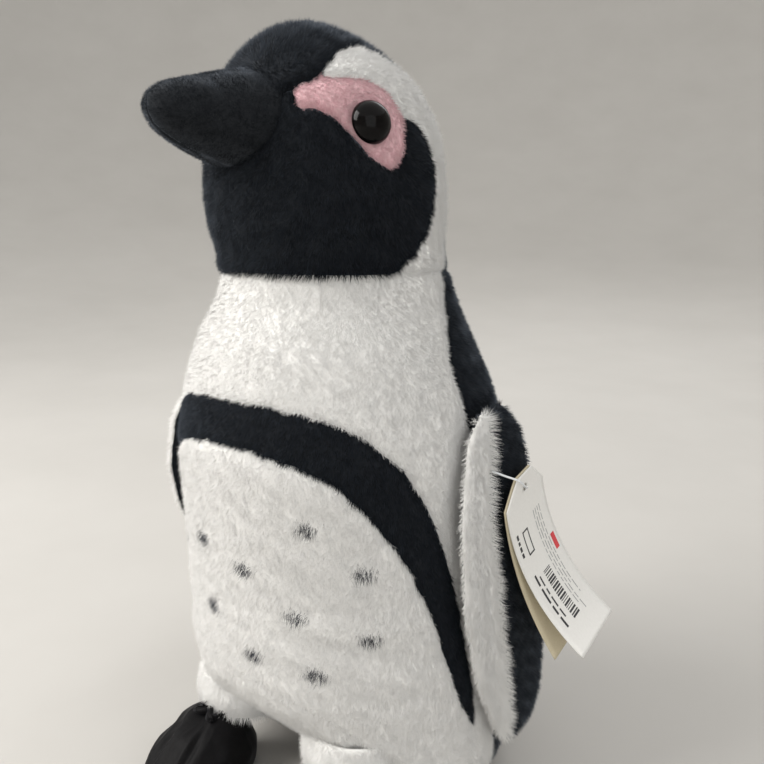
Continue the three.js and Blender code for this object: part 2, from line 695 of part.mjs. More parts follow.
const leftFoot = groupAt(meshes(footPieces(), "_left"), LEG.x, LEG.y, 0);
leftFoot.rotation.z = THREE.MathUtils.degToRad(FOOT.toeOut);
const rightFoot = groupAt(meshes(mirroredPieces(footPieces()), "_right"), -LEG.x, LEG.y, 0);
rightFoot.rotation.z = THREE.MathUtils.degToRad(-FOOT.toeOut);
penguin.add(leftFoot, rightFoot);

export default penguin;
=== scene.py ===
import json
import math

import bmesh
import bpy
import numpy as np
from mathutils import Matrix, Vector
from mathutils.bvhtree import BVHTree


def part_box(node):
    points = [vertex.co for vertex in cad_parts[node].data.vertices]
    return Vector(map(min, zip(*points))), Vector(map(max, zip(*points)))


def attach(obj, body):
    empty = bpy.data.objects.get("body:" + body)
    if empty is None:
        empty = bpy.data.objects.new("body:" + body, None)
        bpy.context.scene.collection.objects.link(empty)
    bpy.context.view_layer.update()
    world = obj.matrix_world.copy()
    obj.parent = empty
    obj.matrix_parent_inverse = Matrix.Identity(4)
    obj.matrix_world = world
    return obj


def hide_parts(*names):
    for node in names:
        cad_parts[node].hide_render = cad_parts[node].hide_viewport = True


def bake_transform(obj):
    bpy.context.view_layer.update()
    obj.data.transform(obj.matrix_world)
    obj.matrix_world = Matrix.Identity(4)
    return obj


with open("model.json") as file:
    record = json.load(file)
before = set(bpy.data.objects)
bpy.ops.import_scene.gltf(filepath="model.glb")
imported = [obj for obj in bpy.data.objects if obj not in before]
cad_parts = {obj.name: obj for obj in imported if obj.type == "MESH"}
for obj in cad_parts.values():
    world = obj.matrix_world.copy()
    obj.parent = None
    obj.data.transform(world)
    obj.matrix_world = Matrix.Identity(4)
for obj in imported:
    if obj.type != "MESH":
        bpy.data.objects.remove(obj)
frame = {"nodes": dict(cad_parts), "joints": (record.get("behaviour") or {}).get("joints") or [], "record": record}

MM = 0.001
UP = np.array((0.0, 0.0, 1.0))
FACE = np.array((0.0, -1.0, 0.0))
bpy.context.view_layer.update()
joints = {joint["name"]: joint for joint in frame["joints"]}
bodies = frame["record"]["behaviour"]["bodies"]

# ---- Camera ----
CAMERA_AZIMUTH = 42
CAMERA_REACH = 362 * MM
CAMERA_HEIGHT = 277 * MM
CAMERA_PITCH = 13
CAMERA_TURN = 2.65
CAMERA_LENS = 36.75


def make_camera():
    camera = bpy.data.objects.new("camera", bpy.data.cameras.new("camera"))
    bpy.context.scene.collection.objects.link(camera)
    azimuth = math.radians(CAMERA_AZIMUTH)
    reach = (CAMERA_REACH * math.sin(azimuth), -CAMERA_REACH * math.cos(azimuth))
    camera.location = (*reach, CAMERA_HEIGHT)
    tilt, turn = math.radians(90 - CAMERA_PITCH), math.radians(CAMERA_AZIMUTH - CAMERA_TURN)
    camera.rotation_euler = (tilt, 0, turn)
    camera.data.lens = CAMERA_LENS
    camera.data.clip_start = 0.01
    bpy.context.scene.camera = camera


make_camera()


# ---- Small helpers ----
def unit(vectors):
    length = np.linalg.norm(vectors, axis=-1, keepdims=True)
    return vectors / np.maximum(length, 1e-12)


def smooth_step(low, high, value):
    share = np.clip((value - low) / (high - low), 0, 1)
    return share * share * (3 - 2 * share)


def blurred(field, row_spread, column_spread):
    """Gaussian blur of a grid whose rows have ends and whose columns run round."""
    for axis, spread in ((0, row_spread), (1, column_spread)):
        reach = int(math.ceil(3 * spread))
        if reach == 0:
            continue
        taps = np.exp(-0.5 * (np.arange(-reach, reach + 1) / spread) ** 2)
        taps /= taps.sum()
        wide = [(0, 0)] * field.ndim
        wide[axis] = (reach, reach)
        padded = np.pad(field, wide, mode="wrap" if axis else "edge")
        count = field.shape[axis]
        field = sum(tap * np.take(padded, range(k, k + count), axis) for k, tap in enumerate(taps))
    return field


def numpy_mesh(name, points, faces):
    mesh = bpy.data.meshes.new(name)
    corners = faces.shape[1]
    mesh.vertices.add(len(points))
    mesh.vertices.foreach_set("co", points.astype(np.float32).ravel())
    mesh.loops.add(faces.size)
    mesh.loops.foreach_set("vertex_index", faces.astype(np.int32).ravel())
    mesh.polygons.add(len(faces))
    mesh.polygons.foreach_set("loop_start", np.arange(0, faces.size, corners, dtype=np.int32))
    mesh.update(calc_edges=True)
    mesh.shade_smooth()
    return mesh


def shown(name, mesh, body):
    piece = bpy.data.objects.new(name, mesh)
    bpy.context.scene.collection.objects.link(piece)
    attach(piece, body)
    return piece


def body_of(node):
    return next(body for body, nodes in bodies.items() if node in nodes)


def slot_of(node):
    return next(row["material_slot"] for row in frame["record"]["subparts"] if row["node"] == node)


def node_points(*names):
    return np.array([v.co for name in names for v in frame["nodes"][name].data.vertices])


# ---- Materials ----
def material(name, colour, roughness, sheen=0.0, sheen_tint=(1, 1, 1), coat=0.0, specular=0.3):
    made = bpy.data.materials.new(name)
    made.use_nodes = True
    shader = made.node_tree.nodes["Principled BSDF"]
    shader.inputs["Base Color"].default_value = (*colour, 1)
    shader.inputs["Roughness"].default_value = roughness
    shader.inputs["Specular IOR Level"].default_value = specular
    shader.inputs["Sheen Weight"].default_value = sheen
    shader.inputs["Sheen Tint"].default_value = (*sheen_tint, 1)
    shader.inputs["Sheen Roughness"].default_value = 0.4
    shader.inputs["Coat Weight"].default_value = coat
    shader.inputs["Coat Roughness"].default_value = 0.05
    return made


def node(made, kind, **values):
    created = made.node_tree.nodes.new(kind)
    for key, value in values.items():
        if key in created.inputs:
            created.inputs[key].default_value = value
        else:
            setattr(created, key, value)
    return created


def patterned(made, low, high, scale, bump=0.3, bump_distance=0.4 * MM):
    """Colour that wanders between low and high, and a bump of the same grain."""
    link = made.node_tree.links.new
    shader = made.node_tree.nodes["Principled BSDF"]
    place = node(made, "ShaderNodeTexCoord")
    size = node(made, "ShaderNodeMapping", Scale=(1, 1, 1))
    grain = node(made, "ShaderNodeTexNoise", Scale=scale, Detail=4.0, Roughness=0.6)
    ramp = node(made, "ShaderNodeValToRGB")
    ramp.color_ramp.elements[0].position = 0.3
    ramp.color_ramp.elements[1].position = 0.7
    ramp.color_ramp.elements[0].color = (*low, 1)
    ramp.color_ramp.elements[1].color = (*high, 1)
    relief = node(made, "ShaderNodeBump", Strength=bump, Distance=bump_distance)
    link(place.outputs["Object"], size.inputs["Vector"])
    link(size.outputs["Vector"], grain.inputs["Vector"])
    link(grain.outputs["Fac"], ramp.inputs["Fac"])
    link(ramp.outputs["Color"], shader.inputs["Base Color"])
    link(grain.outputs["Fac"], relief.inputs["Height"])
    link(relief.outputs["Normal"], shader.inputs["Normal"])
    return made


WHITE_TONES = ((0.92, 0.91, 0.885), (0.94, 0.935, 0.915), (0.89, 0.88, 0.85))
BLACK_TONES = ((0.006, 0.0075, 0.010), (0.010, 0.013, 0.018), (0.019, 0.024, 0.032))
PINK_TONES = ((0.78, 0.48, 0.51), (0.82, 0.56, 0.58), (0.72, 0.41, 0.45))
BEAK_TONES = ((0.006, 0.0075, 0.010), (0.011, 0.013, 0.016), (0.028, 0.032, 0.035))
SPOT_TONES = ((0.50, 0.49, 0.48), (0.21, 0.21, 0.22), (0.045, 0.048, 0.06))
FOOT_TONES = ((0.003, 0.003, 0.0035), (0.006, 0.0055, 0.006))
FILL_TONES = ((0.80, 0.80, 0.78), (0.92, 0.92, 0.90))
WHITE = (1, 1, 1)
BLUISH = (0.5, 0.57, 0.68)
GREYISH = (0.6, 0.6, 0.65)
PINKISH = (1, 0.9, 0.9)


def cloth_material(name, colours, grain, sheen, tint=WHITE, bump=0.3, relief=0.4 * MM,
                   roughness=0.9, specular=0.3):
    """Cloth whose colour wanders between the first two colours."""
    made = material(name, colours[0], roughness, sheen, tint, specular=specular)
    return patterned(made, colours[0], colours[1], grain, bump, relief)


CLOTH = {
    "white_plush": cloth_material("white_cloth", (WHITE_TONES[2], WHITE_TONES[1]), 900, 0.3),
    "black_plush": cloth_material("black_cloth", BLACK_TONES, 900, 0.3, BLUISH),
    "pink_plush": cloth_material("pink_cloth", (PINK_TONES[2], PINK_TONES[1]), 900, 0.3),
    "beak_cloth": cloth_material("beak_velour", BEAK_TONES, 1200, 0.4, BLUISH),
    "foot_satin": cloth_material("foot_satin", FOOT_TONES, 700, 0.10, GREYISH, 0.4, 0.25 * MM,
                                 roughness=0.6, specular=0.12),
    "fibre_fill": cloth_material("fibre_fill", FILL_TONES, 300, 0.5, bump=0.8, relief=2 * MM),
}


def tones(name, colours, sheen, tint):
    """One material for each colour that a fibre can have."""
    return [material(f"{name}_{k}", colour, 0.85, sheen, tint, specular=0.15)
            for k, colour in enumerate(colours)]


PILE = {
    "white_plush": tones("white_pile", WHITE_TONES, 0.15, WHITE),
    "black_plush": tones("black_pile", BLACK_TONES, 0.3, BLUISH),
    "pink_plush": tones("pink_pile", PINK_TONES, 0.15, PINKISH),
    "beak_cloth": tones("beak_pile", BEAK_TONES, 0.3, BLUISH),
}
SPOT_PILE = tones("spot_pile", SPOT_TONES, 0.2, BLUISH)


def plastic(name, low, high, roughness, coat, grain=400, bump=0.05, specular=0.5):
    made = material(name, low, roughness, coat=coat, specular=specular)
    return patterned(made, low, high, grain, bump, 0.1 * MM)


EYE_PLASTIC = plastic("eye_plastic", (0.002, 0.002, 0.002), (0.004, 0.003, 0.003), 0.12, 0.05,
                      specular=0.1)
WASHER_PLASTIC = plastic("washer_plastic", (0.68, 0.68, 0.65), (0.74, 0.74, 0.71), 0.5, 0.0)
TACK_PLASTIC = plastic("tack_plastic", (0.70, 0.73, 0.75), (0.78, 0.80, 0.82), 0.25, 0.3)
TAG_CARD = plastic("tag_card", (0.80, 0.79, 0.76), (0.84, 0.83, 0.80), 0.55, 0.0, 900, 0.15)
# The back card is darker and warmer all over than the front card.
BACK_CARD = plastic("back_card", (0.56, 0.49, 0.34), (0.62, 0.55, 0.40), 0.75, 0.0, 1500, 0.3)
INK = plastic("ink", (0.025, 0.025, 0.03), (0.05, 0.05, 0.055), 0.6, 0.0)
RED_INK = plastic("red_ink", (0.62, 0.045, 0.06), (0.70, 0.07, 0.08), 0.5, 0.0)
GREY_INK = plastic("grey_ink", (0.30, 0.30, 0.31), (0.38, 0.38, 0.39), 0.6, 0.0)


# ---- Surfaces drawn over the CAD ----
RAY_START = 0.3  # rays come in from that far outside the axis, in metres
FILLING_PASSES = 300
SHARE_BLUR = 1.3  # in grid steps
ON_SEAM_WEIGHT = 0.001  # a point on a seam has hardly a say in whose a triangle is


def tree_over(names):
    points, faces, owners = [], [], []
    for index, name in enumerate(names):
        mesh = frame["nodes"][name].data
        faces += [[len(points) + corner for corner in face.vertices] for face in mesh.polygons]
        points += [v.co for v in mesh.vertices]
        owners += [index] * len(mesh.polygons)
    return BVHTree.FromPolygons(points, faces), np.array(owners)


def filled(radius):
    """Missing radii are taken from round about, like a cloth stretched over the hole."""
    known = np.isfinite(radius)
    rows = np.arange(len(radius))
    means = np.array([row[ok].mean() if ok.any() else np.nan for row, ok in zip(radius, known)])
    means = np.interp(rows, rows[np.isfinite(means)], means[np.isfinite(means)])
    radius = np.where(known, radius, means[:, None])
    for _ in range(FILLING_PASSES):
        above = np.vstack((radius[1:], radius[-1:]))
        below = np.vstack((radius[:1], radius[:-1]))
        beside = np.roll(radius, 1, 1) + np.roll(radius, -1, 1)
        radius = np.where(known, radius, (above + below + beside) / 4)
    return radius


class Wrap:
    """A smooth surface round an axis: points and outward normals for every [height, direction]."""

    def __init__(self, names, centre_at, up, ahead, heights, columns, stretch=(1, 1), soften=(2, 4),
                 foot_rows=0):
        self.names = names
        self.up = up
        across = np.cross(up, ahead)
        turn = np.arange(columns) * 2 * math.pi / columns
        sideways, forwards = np.sin(turn)[:, None] * across, np.cos(turn)[:, None] * ahead
        self.directions = unit(stretch[0] * sideways + stretch[1] * forwards)
        self.centres = np.array([centre_at(height) for height in heights])
        self.tree, self.owners = tree_over(names)
        radius = self.outer_radius()
        self.known = np.isfinite(radius)
        self.radius = blurred(filled(radius), *soften)
        self.points = self.centres[:, None] + self.radius[..., None] * self.directions
        if foot_rows:
            shares = np.linspace(0, 1, foot_rows + 1)[:-1, None, None]
            rows = self.centres[0] + (self.points[0] - self.centres[0]) * shares
            self.points = np.concatenate((rows, self.points))
        pole = np.broadcast_to(self.points[-1].mean(0), self.points[-1:].shape)
        self.points = np.concatenate((self.points, pole))
        self.normals = self.outward()
        self.share = self.shares_of_nodes()
        self.on_seam = np.zeros(self.points.shape[:2], bool)

    def outer_radius(self):
        """How far out the CAD is, for every height and direction, or nan where a ray meets nothing."""
        radius = np.full((len(self.centres), len(self.directions)), np.nan)
        for i, centre in enumerate(self.centres):
            for j, direction in enumerate(self.directions):
                start = centre + direction * RAY_START
                hit, normal, _, distance = self.tree.ray_cast(start, -direction, RAY_START)
                if hit is not None and normal.dot(direction) > 0.1:
                    radius[i, j] = RAY_START - distance
        return radius

    def reached(self, grow, pole):
        """The points that the rays met on the CAD, with grow rows and columns more round them."""
        near = blurred(self.known.astype(float), grow / 2, grow / 2) > 0.02
        return np.concatenate((near, np.full((1, near.shape[1]), pole)))

    def outward(self):
        round_way = np.roll(self.points, -1, 1) - np.roll(self.points, 1, 1)
        normal = np.cross(round_way, np.gradient(self.points, axis=0))
        flat = np.linalg.norm(normal, axis=-1) < 1e-12
        lower_half = np.arange(len(normal)) < len(normal) / 2
        ends = np.where(lower_half, -1.0, 1.0)[:, None, None] * self.up
        return unit(np.where(flat[..., None], ends, normal))

    def shares_of_nodes(self):
        """How much of the surface round each point is each node's: 1 inside it, a half on its seam."""
        nearest = [self.tree.find_nearest(point)[2] for point in self.points.reshape(-1, 3)]
        owner = self.owners[nearest].reshape(self.points.shape[:2])
        masks = [(owner == index).astype(float) for index in range(len(self.names))]
        return np.array([blurred(mask, SHARE_BLUR, SHARE_BLUR) for mask in masks])

    def sew(self, valley):
        """Slides the points beside a seam onto it and pulls the seams in."""
        depth = smooth_step(0, 1, 2 * (1 - self.share.max(0))) * valley
        label = self.share.argmax(0)
        moved = np.zeros_like(self.points)
        times = np.zeros(label.shape)
        rows, columns = np.indices(label.shape)
        for row_step, column_step in ((1, 0), (0, 1)):
            other_row = (rows + row_step).clip(max=len(label) - 1)
            other = (other_row, (columns + column_step) % label.shape[1])
            here = label != label[other]
            i, j = rows[here], columns[here]
            k, l = other[0][here], other[1][here]
            first, second = label[i, j], label[k, l]
            lead = self.share[first, i, j] - self.share[second, i, j]
            lag = self.share[second, k, l] - self.share[first, k, l]
            part = (lead / (lead + lag))[:, None]
            seam = self.points[i, j] * (1 - part) + self.points[k, l] * part
            near = part[:, 0] < 0.5
            for chosen, a, b in ((near, i, j), (~near, k, l)):
                np.add.at(moved, (a[chosen], b[chosen]), seam[chosen])
                np.add.at(times, (a[chosen], b[chosen]), 1)
        self.on_seam = times > 0
        self.points[self.on_seam] = moved[self.on_seam] / times[self.on_seam][:, None]
        self.points = self.points - self.normals * depth[..., None]

    def faces(self):
        """Triangles whose edges follow the seams, and the node that each belongs to."""
        rows, columns = self.points.shape[:2]
        index = np.arange(rows * columns).reshape(rows, columns)
        right = np.roll(index, -1, 1)
        a, b, c, d = (grid.ravel() for grid in (index[:-1], right[:-1], right[1:], index[1:]))
        seam = self.on_seam.ravel()
        along_bd = (seam[b] & seam[d])[:, None]
        first = np.where(along_bd, np.stack((a, b, d), 1), np.stack((a, b, c), 1))
        second = np.where(along_bd, np.stack((b, c, d), 1), np.stack((a, c, d), 1))
        triangles = np.concatenate((first, second))
        share = self.share.reshape(len(self.names), -1)
        weight = np.where(seam, ON_SEAM_WEIGHT, 1)[triangles]
        return triangles, (share[:, triangles] * weight).sum(-1).argmax(0)


class Panel:
    """One sewn piece of a wrap: its outer faces, in the wrap's points."""

    def __init__(self, wrap, name, keep=None):
        self.name = name
        faces, owner = wrap.faces()
        mine = owner == wrap.names.index(name)
        if keep is not None:
            mine &= keep.reshape(-1)[faces].all(1)
        used, corners = np.unique(faces[mine], return_inverse=True)
        self.faces = corners.reshape(-1, 3)
        self.points = wrap.points.reshape(-1, 3)[used]
        self.normals = wrap.normals.reshape(-1, 3)[used]
        self.edge = wrap.share.max(0).reshape(-1)[used]


def cloth(panel, thickness):
    """The panel as a piece of cloth of its own, with its edges turned in."""
    mesh = numpy_mesh(panel.name + "_cloth", panel.points, panel.faces)
    shaping = bmesh.new()
    shaping.from_mesh(mesh)
    bmesh.ops.remove_doubles(shaping, verts=shaping.verts, dist=0.01 * MM)
    shaping.to_mesh(mesh)
    shaping.free()
    mesh.shade_smooth()
    slot = slot_of(panel.name)
    mesh.materials.append(CLOTH[slot])
    piece = bpy.data.objects.new(panel.name + "_cloth", mesh)
    settle(piece, panel.name)
    fold = piece.modifiers.new("thickness", "SOLIDIFY")
    fold.thickness = thickness
    fold.offset = -1
    fold.use_even_offset = False
    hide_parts(panel.name)
    return piece


# ---- Pile ----
DENSITY = 2.6  # fibres for each square millimetre
ROUNDNESS = 0.35  # how much a fibre is shaded as a round thread, over the cloth's own shading
SEAM_CROWDING = 1.2  # extra share of fibres beside a seam
LEAST_FACING = 0.25  # how much of a fibre's direction points away from the cloth, at the least


def flow(points, wave, seed, width):
    """A smooth random field with about that wavelength and that many values at each point."""
    rng = np.random.default_rng(seed)
    waves = 10
    ways = unit(rng.normal(size=(waves, 3))) * (2 * math.pi / wave)
    ways = ways * rng.uniform(0.7, 1.5, (waves, 1))
    phases = rng.uniform(0, 6.28, waves)
    return np.sin(points @ ways.T + phases) @ rng.normal(size=(waves, width)) / math.sqrt(waves / 2)


def settle(piece, node_name):
    """Links the piece in to ride with the node's body; a torso piece at the neck is baked in place."""
    bpy.context.scene.collection.objects.link(piece)
    neck = joints["head_turn"]["pos_m"]
    reaches_neck = body_of(node_name) == "torso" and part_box(node_name)[1][2] > neck[2] - 1 * MM
    if reaches_neck:
        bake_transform(piece)
    else:
        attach(piece, body_of(node_name))


COAT = {
    "white_plush": dict(length=3.7 * MM, width=0.27 * MM, lean=0.75, clump=0.09,
                        stray=0.3, mottle=0.12, at_seam=0.7),
    "black_plush": dict(length=3.4 * MM, width=0.30 * MM, lean=0.9, clump=0.13,
                        stray=0.26, mottle=0.4, at_seam=0.95),
    "pink_plush": dict(length=2.8 * MM, width=0.28 * MM, lean=0.8, clump=0.1,
                       stray=0.28, mottle=0.3, at_seam=0.85),
    "beak_cloth": dict(length=1.7 * MM, width=0.28 * MM, lean=0.6, clump=0.25,
                       stray=0.5, mottle=0.3, at_seam=0.9),
}


def pile(panel, comb, seed=1, choose=None, keep=None, longer=None, density=1.0):
    """Tapered fibres that stand on the panel and lie over in the comb direction, in soft clumps.

    keep(roots) says which fibres stay, longer(roots) scales their length, and choose(tips, tone, rng)
    picks the spots' fibres.
    """
    rng = np.random.default_rng(seed)
    slot = slot_of(panel.name)
    coat = COAT[slot]
    triangles = panel.faces
    a, b, c = (panel.points[triangles[:, k]] for k in range(3))
    by_seam = 1 - smooth_step(0.55, 0.95, panel.edge[triangles].mean(1))
    size = np.linalg.norm(np.cross(b - a, c - a), axis=1) / 2 * (1 + SEAM_CROWDING * by_seam)
    count = int(size.sum() / MM**2 * DENSITY * density)
    face = rng.choice(len(size), count, p=size / size.sum())
    u, v = rng.random((2, count, 1))
    u, v = np.where(u + v > 1, 1 - u, u), np.where(u + v > 1, 1 - v, v)
    weights = np.stack((1 - u - v, u, v))
    normal = unit(sum(weights[k] * panel.normals[triangles[face, k]] for k in range(3)))
    root = sum(weights[k] * panel.points[triangles[face, k]] for k in range(3))
    by_seam = by_seam[face]
    if keep is not None:
        stays = keep(root)
        root, normal, by_seam = root[stays], normal[stays], by_seam[stays]
        count = len(root)
    combed = comb(root) if callable(comb) else np.broadcast_to(comb, root.shape)
    combed = combed - normal * (combed * normal).sum(1, keepdims=True)
    clump = flow(root, 9 * MM, seed + 100, 3)
    stray = rng.normal(size=root.shape)
    along = normal + coat["lean"] * unit(combed) + coat["clump"] * clump + coat["stray"] * stray
    along = unit(along)
    facing = (along * normal).sum(1, keepdims=True)
    along = unit(along + normal * np.maximum(LEAST_FACING - facing, 0))
    trimmed = 1 + (coat["at_seam"] - 1) * by_seam[:, None]
    long = coat["length"] * (0.75 + 0.4 * rng.random((count, 1))) * trimmed
    if longer is not None:
        long = long * longer(root)[:, None]
    side = unit(np.cross(along, rng.normal(size=root.shape)))
    third = np.cross(along, side)
    sunk = root - normal * 0.4 * MM
    half = coat["width"] / 2
    corners = [sunk + half * (math.cos(t) * side + math.sin(t) * third) for t in (0, 2.094, 4.189)]
    points = np.stack((*corners, sunk + along * long), 1).reshape(-1, 3)
    first = np.arange(count)[:, None] * 4
    faces = (first[:, None] + np.array(((0, 1, 3), (1, 2, 3), (2, 0, 3)))).reshape(-1, 3)
    mesh = numpy_mesh(panel.name + "_pile", points, faces)
    soft = unit(normal + 0.7 * coat["clump"] * clump)
    outs = [unit(soft + ROUNDNESS * unit(corner - sunk)) for corner in corners]
    shading = np.stack((*outs, unit(soft + 0.15 * along)), 1).reshape(-1, 3)
    lit = mesh.attributes.new("custom_normal", "FLOAT_VECTOR", "POINT")
    lit.data.foreach_set("vector", shading.astype(np.float32).ravel())
    for made in PILE[slot] + (SPOT_PILE if choose else []):
        mesh.materials.append(made)
    mottle = coat["mottle"] * flow(root, 5 * MM, seed + 200, 1)[:, 0] + 0.6 * rng.normal(size=count)
    tone = np.where(mottle > 0.9, 2, np.where(mottle > 0, 0, 1))
    if choose:
        tone = choose(root + 0.7 * along * long, tone, rng)
    mesh.polygons.foreach_set("material_index", np.repeat(tone, 3).astype(np.int32))
    piece = bpy.data.objects.new(panel.name + "_pile", mesh)
    settle(piece, panel.name)
    return piece


# ---- Torso and head: one figure, cut into sewn panels ----
TORSO_NODES = ["chest_panel", "chest_band", "belly_panel", "back_panel_left", "back_panel_right",
               "base_panel"]
HEAD_NODES = ["crown_panel", "mask_left", "mask_right", "white_stripe_left", "white_stripe_right",
              "pink_patch_left", "pink_patch_right"]
SEAT_MIDDLE = np.array((0, 8, 0)) * MM
ROW = 2 * MM
CLOTH_THICKNESS = 1.6 * MM
SEAM_VALLEY = 1.6 * MM
EYE_DENT = 1.6 * MM
CHIN_OVERHANG = 5.0 * MM
CHIN_ROUNDING = 2.8 * MM
CHIN_HEIGHT = 34 * MM
CREASE_DEPTH = 0.6 * MM
SEAT_PRESSED = 3.5 * MM
NECK = np.array(joints["head_turn"]["pos_m"])


def figure_wrap():
    crown = node_points("crown_panel")
    top = crown[crown[:, 2].argmax()]
    spine = np.array((SEAT_MIDDLE, NECK, top))
    dome = 30 * MM
    walls = np.arange(0.3 * MM, top[2] - dome, ROW)
    turns = np.linspace(0, math.pi / 2, 26)[1:-1]
    heights = np.concatenate((walls, walls[-1] + (top[2] - walls[-1]) * np.sin(turns)))

    def centre_at(height):
        return np.array([np.interp(height, spine[:, 2], spine[:, k]) for k in (0, 1)] + [height])

    names = TORSO_NODES + HEAD_NODES
    return Wrap(names, centre_at, UP, FACE, heights, 250, soften=(2.6, 4.2), foot_rows=26)


class Eye:
    """Where one eye sits: its washer's middle, its axis, its radius, and the levels on that axis."""

    def __init__(self, side):
        self.side = side
        points = node_points("eye_" + side)
        self.washer = node_points("eye_washer_" + side).mean(0)
        self.axis = unit(points.mean(0) - self.washer)
        out = (points - self.washer) @ self.axis
        radial = np.linalg.norm(points - self.washer - out[:, None] * self.axis, axis=1)
        self.radius = radial.max()
        self.rim = out[radial > 0.97 * self.radius].min()
        self.apex = out.max()
        self.foot = out.min()
        self.shank = radial[out < self.foot + 0.5 * MM].max()

    def distance(self, points):
        """How far points near the eye are from its axis, and far ones from the eye."""
        from_middle = points - self.washer - self.rim * self.axis
        out = from_middle @ self.axis
        radial = np.linalg.norm(from_middle - out[..., None] * self.axis, axis=-1)
        return np.where(np.abs(out) < 14 * MM, radial, np.linalg.norm(from_middle, axis=-1))


EYES = [Eye("left"), Eye("right")]


def press_eyes_in(wrap):
    for eye in EYES:
        depth = EYE_DENT * (1 - smooth_step(0.9, 1.9, eye.distance(wrap.points) / eye.radius))
        wrap.points = wrap.points - wrap.normals * depth[..., None]


def clear_of_eyes(roots):
    return np.logical_and.reduce([eye.distance(roots) > 0.93 * eye.radius for eye in EYES])


# Direction round from the face and height of each belly spot, in degrees and metres.
SPOTS = [(30.5, 0.150), (47.8, 0.131), (25.2, 0.110), (48.6, 0.102), (30.5, 0.0845), (6, 0.127),
         (8, 0.0875), (-15.5, 0.133), (-11.8, 0.102), (-42, 0.121), (-44, 0.090)]
# Tone, radius and fray of each ring of a spot, from the outside in, in millimetres.
SPOT_RINGS = ((0, 5.6, 1.2), (1, 4.7, 0.6), (2, 3.9, 0.4))
SPOT_FLATNESS = 1.45  # a spot is that much wider than it is high


def spot_places():
    tree = tree_over(["belly_panel"])[0]
    places = []
    for turn, height in SPOTS:
        angle = math.radians(turn)
        way = np.array((math.sin(angle), -math.cos(angle), 0))
        start = np.array((0, SEAT_MIDDLE[1] + (NECK - SEAT_MIDDLE)[1] * height / NECK[2], height))
        places.append(np.array(tree.ray_cast(start + way * 0.3, -way, 0.3)[0]))
    return places


SPOT_PLACES = spot_places()


def spotted(tips, tone, rng):
    """Fibres whose tips lie in a spot take one of its tones."""
    fray = rng.normal(size=len(tips))
    for place in SPOT_PLACES:
        away = tips - place
        away = np.sqrt(away[:, 0] ** 2 + away[:, 1] ** 2 + (SPOT_FLATNESS * away[:, 2]) ** 2) / MM
        for index, reach, spread in SPOT_RINGS:
            tone = np.where(away + spread * fray < reach, len(WHITE_TONES) + index, tone)
    return tone


def combed_back(roots):
    """Down over the body, and back from the beak over the crown."""
    high = smooth_step(NECK[2] + 40 * MM, NECK[2] + 95 * MM, roots[:, 2])[:, None]
    return -UP * (1 - 0.6 * high) - FACE * high


def drooping(roots):
    """The mask's lowest fibres are longer and hang over the chest."""
    return 1 + 0.3 * (1 - smooth_step(2 * MM, 9 * MM, roots[:, 2] - NECK[2]))


def above_table(roots):
    """No fibre grows under the seat, where the cloth is pressed flat."""
    return roots[:, 2] > SEAT_PRESSED


def tuck_chest_in(wrap):
    """The chin rounds in towards the neck, and overhangs the chest, which starts further in."""
    below = (NECK[2] - wrap.points[..., 2]) / CHIN_HEIGHT
    chest = smooth_step(-0.04, 0.05, below) * (1 - smooth_step(0.1, 1, below))
    chin = (1 - smooth_step(-0.04, 0.05, below)) * (1 - smooth_step(0, 0.6, -below))
    depth = CHIN_OVERHANG * chest + CHIN_ROUNDING * chin
    in_front = smooth_step(-0.1, 0.5, wrap.normals @ FACE)
    wrap.points = wrap.points - wrap.normals * (depth * in_front)[..., None]


def crease_belly(wrap):
    """Soft level creases low on the belly, where the legs hold the cloth back."""
    height = wrap.points[..., 2]
    where = smooth_step(35 * MM, 60 * MM, height) * (1 - smooth_step(95 * MM, 130 * MM, height))
    squeezed = wrap.points * np.array((0.22, 0.22, 1.0))
    fold = flow(squeezed.reshape(-1, 3), 15 * MM, 31, 1).reshape(height.shape)
    depth = CREASE_DEPTH * fold * where * smooth_step(0, 0.5, wrap.normals @ FACE)
    wrap.points = wrap.points - wrap.normals * depth[..., None]


figure = figure_wrap()
figure.sew(SEAM_VALLEY)
crease_belly(figure)
press_eyes_in(figure)
tuck_chest_in(figure)
for number, name in enumerate(TORSO_NODES + HEAD_NODES):
    panel = Panel(figure, name)
    cloth(panel, CLOTH_THICKNESS)
    keep = clear_of_eyes if name in HEAD_NODES else above_table
    pile(panel, combed_back, seed=number + 1, choose=spotted if name == "belly_panel" else None,
         keep=keep, longer=drooping if name.startswith("mask") else None)


# ---- Beak ----
BEAK_NODES = ["beak_left", "beak_right"]


def beak_wrap():
    points = node_points(*BEAK_NODES)
    tip = points[np.linalg.norm((points - NECK)[:, :2], axis=1).argmax()]
    root = np.array((NECK[0], NECK[1], tip[2]))
    along = unit(tip - root)
    near = ((points - root) @ along).min()
    far = np.linalg.norm(tip - root)
    heights = near + (far - near) * np.sin(np.linspace(0, math.pi / 2, 56))[:-1]
    centre_at = lambda height: root + along * height
    return Wrap(BEAK_NODES, centre_at, along, UP, heights, 96, soften=(1.6, 2.2)), along


beak, beak_way = beak_wrap()
beak.sew(0.7 * MM)
for number, name in enumerate(BEAK_NODES):
    panel = Panel(beak, name, beak.reached(4, True))
    cloth(panel, 1.2 * MM)
    pile(panel, beak_way, seed=40 + number, density=1.6)


# ---- Flippers ----
FLAT_LIMB = (0.36, 1)  # the rays crowd towards the two thin edges
STRIP_COVERS = 3 * MM  # no inner fibre grows that close to the white strip
FLIPPER_SPREAD = {"left": 1, "right": 0}  # the photo shows the left strip's fluff, and no right one


